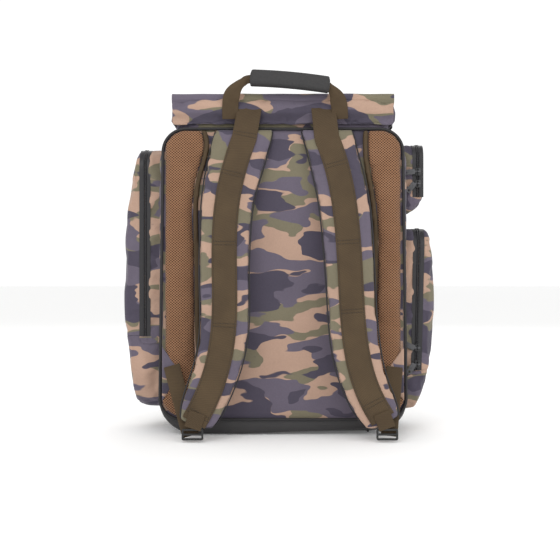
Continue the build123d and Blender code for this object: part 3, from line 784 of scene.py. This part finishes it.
# Heights of the rows of stitching across each strap's webbing, from the top down.
cross_rows = {"left": (466, 405, 298, 175, 44), "right": (420, 300, 196, 60)}
for side, sign in (("left", -1), ("right", 1)):
    pad_node, web_node = f"{side}_strap_pad", f"{side}_strap_webbing"
    under = surface_of(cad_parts[web_node].data)
    pad = copy_of(f"{side}_shoulder_pad", pad_node)
    puff(pad, lambda p: p[2] > STRAP_SEAM or under.find_nearest(Vector(p))[3] < 3.5 * MM, 3.2 * MM,
         pressure=6, slack=0.03, voxel=4.4 * MM)
    clothed(pad, (0.07 * sign, 0.2, 0.11 * sign))
    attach(pad, "bag")
    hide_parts(pad_node)

    # A fine black cord is sewn into both edges of the pad.
    outline = levels(pad_node, 90)
    for edge in (-1, 1):
        def cord_place(u, v, outline=outline, edge=edge):
            z = outline[-1][0] + (outline[0][0] - outline[-1][0]) * (0.004 + 0.985 * v)
            x, half, near, far = (float(np.interp(z, outline[:, 0], outline[:, i]))
                                  for i in (1, 2, 3, 4))
            angle = 2 * math.pi * u
            return (x + edge * (half + 0.4 * MM) + 1.1 * MM * math.cos(angle),
                    (near + far) / 2 + 1.1 * MM * math.sin(angle), z)

        edge_name = "inner" if edge * sign < 0 else "outer"
        pad_cord = grid(f"{side}_pad_cord_{edge_name}", 8, 150, cord_place, closed=True)
        clothed(pad_cord, material=piping_cloth)
        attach(pad_cord, "bag")

    rows = levels(web_node)
    top_z, low_z = rows[-1][0], rows[0][0]
    web_half = WIDE_WEB / 2
    # The ends are cut square to the strap, so the middle line is taken between them.
    whole = (rows[:, 0] < STRAP_SEAM) & (rows[:, 0] > low_z + 9 * MM)
    curve = np.polynomial.Polynomial.fit(rows[whole, 0], rows[whole, 1], 5)
    rows[:, 1] = np.where(whole, curve(rows[:, 0]), 0)
    for outside, nearest in ((rows[:, 0] >= STRAP_SEAM, 460 * MM),
                             (rows[:, 0] <= low_z + 9 * MM, low_z + 10 * MM)):
        rows[outside, 1] = curve(nearest) + curve.deriv()(nearest) * (rows[outside, 0] - nearest)
    # Over the piping it stands nearly upright, and its cut end is level.
    upper = rows[:, 0] > UPRIGHT_FROM
    splay = 0.17 if sign < 0 else -0.10
    rows[upper, 1] = curve(UPRIGHT_FROM) + splay * (rows[upper, 0] - UPRIGHT_FROM)
    slope = np.gradient(rows[:, 1], rows[:, 0])

    def web_place(s, t, rows=rows, slope=slope, top_z=top_z, low_z=low_z):
        z = top_z + (low_z - top_z) * t
        x = float(np.interp(z, rows[:, 0], rows[:, 1]))
        lean = float(np.interp(z, rows[:, 0], slope))
        size = math.hypot(1, lean)
        dz = -s * web_half * lean / size * min(1.0, t * 12)
        y = float(np.interp(z + dz, rows[:, 0], (rows[:, 3] + rows[:, 4]) / 2))
        ripple = 0.5 * MM * noise.noise(Vector((x * 20, 3.3, z * 25)))
        return (x + s * web_half / size, y - 0.3 * MM + ripple * abs(s), z + dz)

    web = band(f"{side}_strap_web", WIDE_WEB, top_z - low_z, web_place, thick=1.9 * MM, across=10,
               along=150)
    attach(web, "bag")
    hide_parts(web_node)

    def web_row(z):
        t = (top_z - z) / (top_z - low_z)
        found = []
        for i in range(11):
            spot = Vector(web_place(-0.92 + 1.84 * i / 10, t)) + Vector((0, -STITCH_LIFT, 0))
            found.append((spot, (0, -1, 0)))
        return found

    lines = []
    for z in cross_rows[side]:
        lines += [web_row(z * MM), web_row((z - 5) * MM)]
    for edge in (-0.88, 0.88):
        lines.append([(Vector(web_place(edge, i / 120)) + Vector((0, -STITCH_LIFT, 0)), (0, -1, 0))
                      for i in range(17, 119)])
    stitches(f"{side}_strap_stitching", lines, "bag")


def straight_band(name, start, end, width, outward, bow=0.0):
    """Webbing pulled straight between two points, with a little bow."""
    start, end = Vector(start), Vector(end)
    along = end - start
    across = along.cross(Vector(outward)).normalized() * (width / 2)
    out = across.cross(along).normalized()
    if out.dot(Vector(outward)) < 0:
        out = -out

    def place(s, t):
        return start + along * t + across * s + out * (bow * 4 * t * (1 - t))

    return band(name, width, along.length, place, across=6, along=24, outward=outward)


for side, sign, body in (("left", -1, "left_lock"), ("right", 1, "right_lock")):
    lock_low, lock_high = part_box(f"{side}_ladder_lock")
    lock_x = (lock_low.x + lock_high.x) / 2
    lock_y = (lock_low.y + lock_high.y) / 2
    strip_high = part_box(f"{side}_lower_webbing")[1]
    lower = straight_band(f"{side}_lower_web", (lock_x + sign * 3 * MM, lock_y + 3.6 * MM, 9 * MM),
                          (sign * 171 * MM, strip_high.y - 1 * MM, strip_high.z - MM), NARROW_WEB,
                          (0, -1, 0.4), bow=2 * MM)
    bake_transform(lower)
    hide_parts(f"{side}_lower_webbing")
    loop_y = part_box("strap_loops")[0].y + 0.9 * MM
    pad_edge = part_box(f"{side}_strap_pad")[0 if sign < 0 else 1].x
    loop = straight_band(f"{side}_strap_loop", (pad_edge - sign * 26 * MM, loop_y, 44 * MM),
                         (lock_x, lock_y - 3.8 * MM, 20.5 * MM), NARROW_WEB, (0, -1, 0))
    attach(loop, "bag")
    if sign < 0:
        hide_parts("strap_loops")


# ---- Hard fittings ----
# Ladder locks and side-release buckles are moulded acetal, black, with a satin skin. Zip sliders
# are die-cast zinc under black lacquer.
# Acetal: black with a low satin shine and a faint moulded skin.
acetal = mottled("moulded_black_acetal", 800.0, 2.0, "#141415", "#222223", (0.15, 0.1 * MM),
                 Roughness=0.32)


def eased(node, material, slot, body, edge=0.6 * MM):
    """A moulded or cast piece at its CAD shape, with its sharp edges rounded."""
    piece = copy_of(f"{node}_moulding", node)
    edit(piece)
    bpy.ops.mesh.dissolve_limited(angle_limit=math.radians(3))
    close_edit()
    modified(piece, "BEVEL", width=edge, segments=3, limit_method="ANGLE",
             angle_limit=math.radians(40))
    clothed(piece, material=material)
    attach(piece, body)
    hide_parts(node)


for node, body in (("left_ladder_lock", "left_lock"), ("right_ladder_lock", "right_lock"),
                   ("left_buckle_plug", "left_plug"), ("right_buckle_plug", "right_plug"),
                   ("buckle_sockets", "bag")):
    eased(node, acetal, "black_plastic", body)


# ---- Side triangles ----
# Doubled triangles of printed cloth in the side seams; each holds the end of a lower webbing.
triangles = soft_copy("seam_triangles", "side_triangles", 1.6 * MM, 0.6, 5)
clothed(triangles, (0.02, 0.3, 0.0))
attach(triangles, "bag")
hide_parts("side_triangles")


# ---- Lid ----
# A cap of padded cloth with soft skirts, sewn along its rear edge and piped round its top edge.
lid_low, lid_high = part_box("lid_panel")
cap = block("lid_cloth", (lid_low.x, lid_low.y + 2 * MM, lid_low.z),
            (lid_high.x, lid_high.y, lid_high.z - 4 * MM))
rounded(cap, lambda co, along: abs(along.normalized().z) > 0.9 and co.y > 0, 22 * MM, 6)
rounded(cap, lambda co, along: co.z > lid_high.z - 5 * MM and abs(along.z) < MM, 6 * MM, 3)
puff(cap, lambda p: p[2] < lid_low.z + 4 * MM or p[1] < lid_low.y + 5 * MM and p[2] < 522 * MM,
     5 * MM, pressure=4, slack=0.03, voxel=6 * MM)
cut(cap, (0, 0, lid_low.z + 2 * MM), (0, 0, 1))
remove_faces(cap, lambda co, n: co.y < lid_low.y + 12 * MM and co.z < 520.5 * MM)
clothed(cap, (0.4, 0.1, 0.05), wall=3 * MM, inner=lining)
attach(cap, "lid")
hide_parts("lid_panel")


def arch_path(half, foot, high, corner, turns):
    """Points up one side, round two corners and down the other, as (across, up, nx, ny)."""
    path = [(-half, foot, -1, 0)]
    for middle, first in ((-half + corner, 180), (half - corner, 90)):
        for i in range(turns + 1):
            angle = math.radians(first - 90 * i / turns)
            c, s = math.cos(angle), math.sin(angle)
            path.append((middle + corner * c, high - corner + corner * s, c, s))
    return path + [(half, foot, 1, 0)]


# The cord lies against the cloth just under the lid's top edge, from one end of the rear seam
# round the front to the other.
cap_surface = surface_of(cap.data)
lid_rim = arch_path(175 * MM, -88 * MM, 106.5 * MM, 22 * MM, 8)
LID_CORD = 1.7 * MM


def lid_cord_place(u, v):
    x, y = along_path(lid_rim, v, closed=False)[:2]
    on_cloth, out = cap_surface.find_nearest(Vector((x, y, 516.5 * MM)))[:2]
    out = Vector((out.x, out.y, 0)).normalized()
    centre = on_cloth + out * 0.7 * MM
    angle = 2 * math.pi * u
    return centre + out * (LID_CORD * math.cos(angle)) + Vector((0, 0, LID_CORD * math.sin(angle)))


lid_cord = grid("lid_edge_cord", 10, 260, lid_cord_place, closed=True)
clothed(lid_cord, material=piping_cloth)
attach(lid_cord, "lid")
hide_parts("lid_piping")

# The seam that it turns on is a strip of the same cloth, folded over the rear roll.
fold_line = ((-101.5, 510), (-106.5, 514), (-109.2, 519), (-108.6, 524), (-105.5, 527.2),
             (-99, 528.6), (-90, 529.0))


def fold_place(u, v):
    at = u * (len(fold_line) - 1)
    y, z = (float(np.interp(at, range(len(fold_line)), [p[i] for p in fold_line])) for i in (0, 1))
    pucker = 0.8 * noise.noise(Vector((v * 9, u * 2.0, 7.7)))
    return ((2 * v - 1) * 171.5 * MM, (y - abs(pucker)) * MM, (z + pucker) * MM)


seam_strip = grid("lid_seam_strip", 24, 160, fold_place)
face_out(seam_strip, (0, -1, 0))
modified(seam_strip, "SUBSURF", levels=1, render_levels=1)
clothed(seam_strip, (0.05, 0, 0.21), wall=1.2 * MM)
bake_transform(seam_strip)


# ---- Carry handle ----
# 25 mm webbing folded in half inside a moulded foam-rubber grip. Its two feet are sewn under the
# lid's rear seam.
foot_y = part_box("handle_webbing")[1].y - 0.9 * MM
grip_low, grip_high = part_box("handle_grip")
grip_y = (grip_low.y + grip_high.y) / 2


def soft_run(points):
    """A smooth path through points: returns place(t) and direction(t)."""
    points = [Vector(p) for p in points]
    ends = [points[0] * 2 - points[1]] + points + [points[-1] * 2 - points[-2]]

    def place(t):
        at = min(t * (len(points) - 1), len(points) - 1 - 1e-6)
        i, f = int(at), at - int(at)
        a, b, c, d = ends[i:i + 4]
        bend, twist = 2 * a - 5 * b + 4 * c - d, 3 * b - a - 3 * c + d
        return 0.5 * (2 * b + (c - a) * f + bend * f * f + twist * f ** 3)

    def direction(t):
        return (place(min(t + 0.01, 1)) - place(max(t - 0.01, 0))).normalized()

    return place, direction


handle_place, handle_way = soft_run((
    (-81 * MM, foot_y, 488 * MM), (-81 * MM, -114 * MM, 506 * MM), (-79 * MM, -121 * MM, 520 * MM),
    (-72 * MM, -127 * MM, 532 * MM), (-61 * MM, grip_y, 541 * MM), (-46 * MM, grip_y, 546 * MM),
    (15 * MM, grip_y, 545 * MM), (60 * MM, grip_y, 538 * MM), (71 * MM, -129 * MM, 533 * MM),
    (80 * MM, -125 * MM, 524 * MM), (85 * MM, -119 * MM, 512 * MM), (87 * MM, -113 * MM, 501 * MM),
    (88 * MM, foot_y, 488 * MM)))


def handle_web_place(s, t):
    centre, way = handle_place(t), handle_way(t)
    side = way.cross(Vector((0, -1, 0))).normalized()
    # Towards the grip the webbing folds in half: its two edges turn back behind its middle.
    fold = min(1.0, max(0.0, (min(t, 1 - t) - 0.17) / 0.17))
    fold = fold * fold * (3 - 2 * fold)
    turn = fold * math.radians(80)
    half = NARROW_WEB / 2 * (1 - 0.5 * fold)
    return centre + side * (half * s) + Vector((0, -1, 0)) * (-half * abs(s) * math.sin(turn) * 0.5)


handle_web = band("handle_web", NARROW_WEB, 0.30, handle_web_place, across=10, along=90)
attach(handle_web, "handle")
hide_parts("handle_webbing")

# Foam rubber: charcoal and dull, with a soft pitted skin.
foam_rubber = mottled("moulded_foam_rubber", 350.0, 3.0, "#232223", "#343333", (0.4, 0.4 * MM),
                      Roughness=0.75)

grip_start, grip_end = Vector((-50 * MM, grip_y, 548 * MM)), Vector((71 * MM, grip_y, 537 * MM))


def grip_place(u, v):
    angle = 2 * math.pi * u
    along = grip_end - grip_start
    up = Vector((0, 1, 0)).cross(along).normalized()
    if up.z < 0:
        up = -up
    # A rounded-square section that closes in over its last 3 mm, on a slight arch.
    c, s = math.cos(angle), math.sin(angle)
    square = 1 / (abs(c) ** 3.2 + abs(s) ** 3.2) ** (1 / 3.2)
    ends = min(v, 1 - v) * along.length / (3.5 * MM)
    close = 1.0 if ends > 1 else math.sqrt(max(0.0, 1 - (1 - ends) ** 2)) * 0.45 + 0.55
    arch = 2.0 * MM * (4 * v * (1 - v) - 0.5)
    return (grip_start + along * v + Vector((0, 1, 0)) * (11 * MM * c * square * close)
            + up * (12.5 * MM * s * square * close + arch))


grip = grid("handle_sleeve", 40, 70, grip_place, closed=True)
edit(grip)
bpy.ops.mesh.select_all(action="DESELECT")
bpy.ops.mesh.select_non_manifold()
bpy.ops.mesh.edge_face_add()
bpy.ops.mesh.select_all(action="SELECT")
bpy.ops.mesh.normals_make_consistent(inside=False)
close_edit()
clothed(grip, material=foam_rubber)
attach(grip, "handle")
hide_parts("handle_grip")


# ---- Zips ----
# Coil zips on 32 mm tape that shows 14 mm of itself: black nylon coil on black woven tape. Each
# pocket's zip runs up one side, over the top and down the other.
# Zip: black tape with a low shine, and a ribbed coil along its inner edge, its turns painted
# lighter on their crests and darker between them as highlight and shade. The coil's turns are drawn
# 2.4 mm apart, coarser than they are made, so that they show.
zip_tape, zip_tree = blank_material("nylon_coil_zip")
zip_run = add_node(zip_tree, "UVMap", uv_map="lie")
zip_axes = add_node(zip_tree, "SeparateXYZ", links={0: (zip_run, 0)})
zip_phase = add_node(zip_tree, "Math", operation="MULTIPLY", links={0: (zip_axes, 1)},
                     inputs={1: 2 * math.pi / (2.4 * MM)})
zip_teeth = add_node(zip_tree, "Math", operation="SINE", links={0: (zip_phase, 0)})
zip_near = add_node(zip_tree, "Math", operation="LESS_THAN", links={0: (zip_axes, 0)},
                    inputs={1: 2.2 * MM})
zip_coil = add_node(zip_tree, "Math", operation="MULTIPLY",
                    links={0: (zip_teeth, 0), 1: (zip_near, 0)})
# Along the coil, each turn is painted lighter and the gap after it darker: painted highlight and
# shade.
zip_shade = add_node(zip_tree, "Math", operation="MULTIPLY_ADD", links={0: (zip_coil, 0)},
                     inputs={1: 0.3, 2: 0.4})
zip_tone = add_node(zip_tree, "Mix", data_type="RGBA", links={0: (zip_shade, 0)},
                    inputs={6: tint("#0b0a0c"), 7: tint("#232126")})
zip_relief = add_node(zip_tree, "Bump", links={"Height": (zip_coil, 0)},
                      inputs={"Strength": 0.6, "Distance": 0.6 * MM})
zip_skin = add_node(zip_tree, "BsdfPrincipled", inputs={"Roughness": 0.5},
                    links={"Base Color": (zip_tone, 2), "Normal": (zip_relief, 0)})
add_node(zip_tree, "OutputMaterial", links={"Surface": (zip_skin, 0)})

# Lacquered zinc: black and smooth, with clear small highlights.
lacquer = mottled("black_lacquered_zinc", 500.0, 2.0, "#151517", "#222225", Roughness=0.3,
                  Metallic=0.4, Coat_Weight=0.4)
# Soft PVC: mid grey and dull, a little lighter than the slider it hangs from.
soft_pvc = mottled("moulded_soft_pvc", 300.0, 2.0, "#3b3b3e", "#4d4d50", Roughness=0.5)


# ---- Pockets ----
# Each is a gusset and a tapered pouch of printed cloth, with an outer panel that folds down on
# its seam when the zip is run open. The cloth is slack, so it swells and creases between seams.
POCKET_TURNS = {"left": 180, "right_upper": 0, "right_lower": 0, "front": 90}
POCKET_CORNERS = {"left": 30 * MM, "right_upper": 22 * MM, "right_lower": 30 * MM, "front": 34 * MM}


class PocketShape:
    """A pocket's main lines in its own frame: +X away from the bag, Y along its wall."""

    def __init__(self, name):
        self.name, self.turn = name, math.radians(POCKET_TURNS[name])
        pouch, door, coil = (self.local(f"{name}_{part}")
                             for part in ("pocket", "pocket_door", "zip_outer"))
        self.wall, self.outer = pouch[0][0], pouch[1][0]
        self.zip_at = coil[0][0] - 0.2 * MM
        self.half = pouch[1][1]
        self.low, self.high = pouch[0][2], pouch[1][2]
        self.hinge = door[0][2] - 0.6 * MM
        self.corner = POCKET_CORNERS[name]

    def local(self, node):
        """A node's box corners, turned into the pocket's frame."""
        corners = [self.to_local(corner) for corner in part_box(node)]
        return np.min(corners, axis=0), np.max(corners, axis=0)

    def to_local(self, p):
        c, s = math.cos(self.turn), math.sin(self.turn)
        return np.array((p[0] * c + p[1] * s, -p[0] * s + p[1] * c, p[2]))

    def to_bag(self, points):
        c, s = round(math.cos(self.turn)), round(math.sin(self.turn))
        points = np.asarray(points, dtype=float).reshape(-1, 3)
        x, y, z = points.T
        return np.stack((x * c - y * s, x * s + y * c, z), 1)

    def side_gap(self, y, z):
        """How far inside the pocket's rounded outline a point lies."""
        return border_gap(y, z, self.half, self.low, self.high, self.corner)


# How far each outer panel's crown stands beyond its zip, and where up the pocket that is.
POCKET_CROWNS = {"left": (31 * MM, 0.48), "right_upper": (9 * MM, 0.5),
                 "right_lower": (25 * MM, 0.56), "front": (29 * MM, 0.48)}
# How much of its depth each pouch loses towards its foot.
POCKET_TAPERS = {"left": 0.0, "right_upper": 0.62, "right_lower": 0.28, "front": 0.05}
ZIP_WIDE = 8.6 * MM


def pocket_depth(shape, z):
    """How far out the pocket's outer panel stands at a height: an arc from end to end."""
    crown, middle = POCKET_CROWNS[shape.name]
    t = (z - shape.low) / (shape.high - shape.low)
    rise = max(0.0, 1 - (abs(t - middle) / 0.55) ** 2.3)
    return shape.zip_at + 7 * MM + (crown - 7 * MM) * rise


def leaned(shape, points):
    """The lower right pocket hangs in towards the bag at its foot."""
    points = np.array(points, dtype=float).reshape(-1, 3)
    if shape.name == "right_lower":
        up = (points[:, 2] - shape.low) / (shape.high - shape.low)
        out = np.clip((points[:, 0] - shape.wall) / (shape.zip_at - shape.wall), 0, 1)
        points[:, 0] += out * (-4.5 * MM + 7 * MM * up)
    return points


# How far each pouch's slack cloth may swell between its seams.
slack_caps = {"left": 9 * MM, "right_upper": 7 * MM, "right_lower": 9 * MM, "front": 9 * MM}
for number, name in enumerate(POCKET_TURNS):
    shape = PocketShape(name)
    # Each pocket is cut from its own place in the print.
    print_x, print_y, print_z = 0.17 * number, 0.4 + 0.1 * number, 0.09 * number
    form = block(f"{name}_form", (shape.wall, -shape.half, shape.low),
                 (shape.outer, shape.half, shape.high))
    rounded(form, lambda co, along: abs(along.normalized().x) > 0.9, shape.corner, 6)
    modified(form, "REMESH", mode="VOXEL", voxel_size=5 * MM)
    points = points_of(form)
    for p in points:
        stand = (p[0] - shape.wall) / (shape.outer - shape.wall)
        depth = pocket_depth(shape, p[2])
        # The zip's plane keeps its place while the outside moves in.
        zip_share = (shape.zip_at - shape.wall) / (shape.outer - shape.wall)
        if stand > zip_share:
            p[0] = shape.zip_at + (depth - shape.zip_at) * (stand - zip_share) / (1 - zip_share)
        # Below the fold the pouch draws in towards the bag.
        below = max(0.0, (shape.hinge - p[2]) / (shape.hinge - shape.low))
        p[0] = shape.wall + (p[0] - shape.wall) * (1 - POCKET_TAPERS[name] * below ** 1.4)
    set_points(form, points)

    def sewn(p, shape=shape):
        on_rim = shape.side_gap(p[1], p[2]) < 5 * MM
        at_zip = abs(p[0] - shape.zip_at) < 8 * MM and p[2] > shape.hinge - 6 * MM and on_rim
        at_fold = abs(p[2] - shape.hinge) < 3 * MM and p[0] > shape.zip_at - 4 * MM
        return p[0] < shape.wall + 3 * MM or at_zip or at_fold

    def loose(p, shape=shape):
        return 3.5 * MM if p[0] > shape.zip_at + 3 * MM else slack_caps[shape.name]

    puff(form, sewn, loose, pressure=3, slack=0.07, voxel=(6.5 if name == "front" else 5) * MM)
    door = duplicate(form, f"{name}_door_cloth")
    cut(door, (shape.zip_at, 0, 0), (1, 0, 0))
    cut(door, (0, 0, shape.hinge + 0.6 * MM), (0, 0, 1))
    pouch = form
    pouch.name = f"{name}_pouch_cloth"
    cut(pouch, (shape.zip_at, 0, 0), (1, 0, 0), keep="both")
    cut(pouch, (0, 0, shape.hinge), (0, 0, 1), keep="both")
    remove_faces(pouch, lambda co, n: co.x > shape.zip_at and co.z > shape.hinge
                 or co.x < shape.wall + 2 * MM and n.x < -0.5)
    # Below the zip's ends the cloth is folded into a tuck across each side of the pouch.
    pouch_surface = surface_of(pouch.data)
    for end, end_name in ((-1, "a"), (1, "b")):
        if name == "right_upper":
            continue

        def tuck_place(u, v, end=end, shape=shape, surface=pouch_surface):
            x = shape.wall + 2 * MM + v * (shape.zip_at + 6 * MM - shape.wall)
            pucker = 0.8 * MM * noise.noise(Vector((v * 6, end, shape.turn)))
            z = shape.hinge - 10 * MM + 9 * MM * u + pucker
            spot = surface.find_nearest(Vector((x, end * (shape.half + 12 * MM), z)))[0]
            return spot + Vector((0, end * (0.4 * MM + 1.9 * MM * math.sin(math.pi * u) ** 0.6), 0))

        tuck = grid(f"{name}_tuck_{end_name}", 12, 60, tuck_place)
        face_out(tuck, (0, end, 0))
        set_points(tuck, shape.to_bag(leaned(shape, points_of(tuck))))
        clothed(tuck, (print_x + 0.03, print_y, print_z + 0.02), wall=1.0 * MM)
        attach(tuck, "bag")

    for piece, body, node in ((pouch, "bag", f"{name}_pocket"),
                              (door, f"{name}_door", f"{name}_pocket_door")):
        set_points(piece, shape.to_bag(leaned(shape, points_of(piece))))
        clothed(piece, (print_x, print_y, print_z), wall=2.2 * MM, inner=lining)
        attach(piece, body)
        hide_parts(node)

    # The zip: from the fold up one side, round the top and down the other.
    r = shape.corner
    rim = arch_path(shape.half, shape.hinge, shape.high, r, 12)
    run = 2 * (shape.high - r - shape.hinge) + math.pi * r + 2 * (shape.half - r)
    for half_name, way, body in (("inner", -1, "bag"), ("outer", 1, f"{name}_door")):
        def zip_place(s, t, way=way):
            y, z, ny, nz = along_path(rim, t, closed=False)
            away = (s + 1) / 2 * ZIP_WIDE
            # The tape lies flat and the coil stands up beside the parting line.
            bead = 1.5 * MM * max(0.0, 1 - ((away - 1.3 * MM) / (1.5 * MM)) ** 2) ** 0.5 \
                if abs(away - 1.3 * MM) < 1.5 * MM else 0.0
            lift = 0.9 * MM + bead * 0.8
            return (shape.zip_at + way * (0.15 * MM + away), y + ny * lift, z + nz * lift)

        tape = grid(f"{name}_zip_{half_name}_tape", 18, 260, lambda u, v: zip_place(2 * u - 1, v))
        lay_map(tape, ZIP_WIDE, run)
        face_out(tape, (0, -1, 0), face=30)
        modified(tape, "SOLIDIFY", thickness=1.0 * MM, offset=-1)
        set_points(tape, shape.to_bag(leaned(shape, points_of(tape))))
        clothed(tape, material=zip_tape)
        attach(tape, body)
        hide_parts(f"{name}_zip_{half_name}")

    for i in range(1, 3):
        if f"{name}_slider_{i}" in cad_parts:
            eased(f"{name}_slider_{i}", lacquer, "black_metal", f"{name}_slider_{i}", edge=0.4 * MM)
            eased(f"{name}_pull_{i}", soft_pvc, "grey_rubber", f"{name}_pull_{i}", edge=0.4 * MM)


# ---- Lid straps and tab ----
# 25 mm webbing sewn to the lid's front skirt and to the front panel holds the buckles' halves. A
# short tab of black tape is folded into the lid's right skirt.
for side, sign in (("left", -1), ("right", 1)):
    web_low, web_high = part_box("lid_webbings")
    x = sign * (web_high.x - NARROW_WEB / 2)
    lid_web = straight_band(f"{side}_lid_web", (x, web_high.y + 1.0 * MM, web_high.z),
                            (x, web_high.y, web_low.z), NARROW_WEB, (0, 1, 0), bow=0.6 * MM)
    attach(lid_web, "lid")
    sock_low, sock_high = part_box("socket_webbings")
    socket_web = straight_band(f"{side}_socket_web", (x, 103 * MM + 4 * MM, sock_low.z),
                               (x, sock_high.y - 4 * MM, sock_high.z - 2 * MM),
                               NARROW_WEB, (0, 1, 0))
    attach(socket_web, "bag")
    if sign < 0:
        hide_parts("lid_webbings")
        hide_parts("socket_webbings")

tab = soft_copy("lid_seam_tab", "lid_side_tab", 0.8 * MM, 0.5, 3)
clothed(tab, material=piping_cloth)
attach(tab, "lid")
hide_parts("lid_side_tab")
